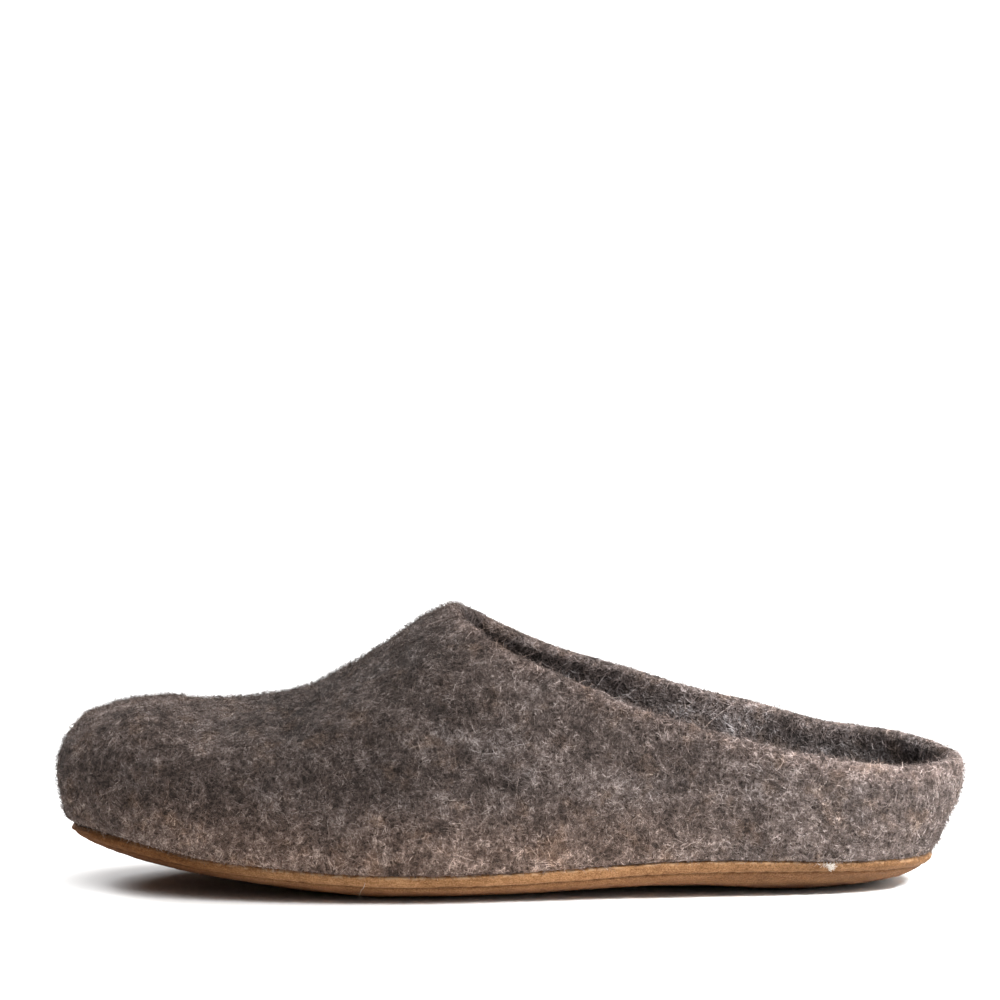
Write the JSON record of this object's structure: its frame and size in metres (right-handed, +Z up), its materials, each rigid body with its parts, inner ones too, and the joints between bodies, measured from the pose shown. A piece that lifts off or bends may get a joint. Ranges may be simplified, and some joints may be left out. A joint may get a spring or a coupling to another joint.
{
  "type": "felt slipper",
  "caption": "Backed mule slipper for the left foot: thick seamless felt upper with a sloping collar, a felt insole, and a tan leather sole sewn on by its turned-up edge.",
  "frame": {"origin": "on the floor, under the middle of the slipper's bounding box", "axes": "+Z up; +X from toe to heel, along the slipper; +Y towards the inner side of the foot"},
  "size_m": [0.2799, 0.1083, 0.0859],
  "materials": {
    "wool_felt": "heathered grey-brown wool felt with a hairy nap",
    "wool_felt_insole": "dense grey wool felt, trodden smooth",
    "suede_leather": "tan split leather with a short nap and a raw cut edge"
  },
  "bodies": {
    "root": {"upper": "wool_felt", "insole": "wool_felt_insole", "sole": "suede_leather"}
  },
  "joints": []
}
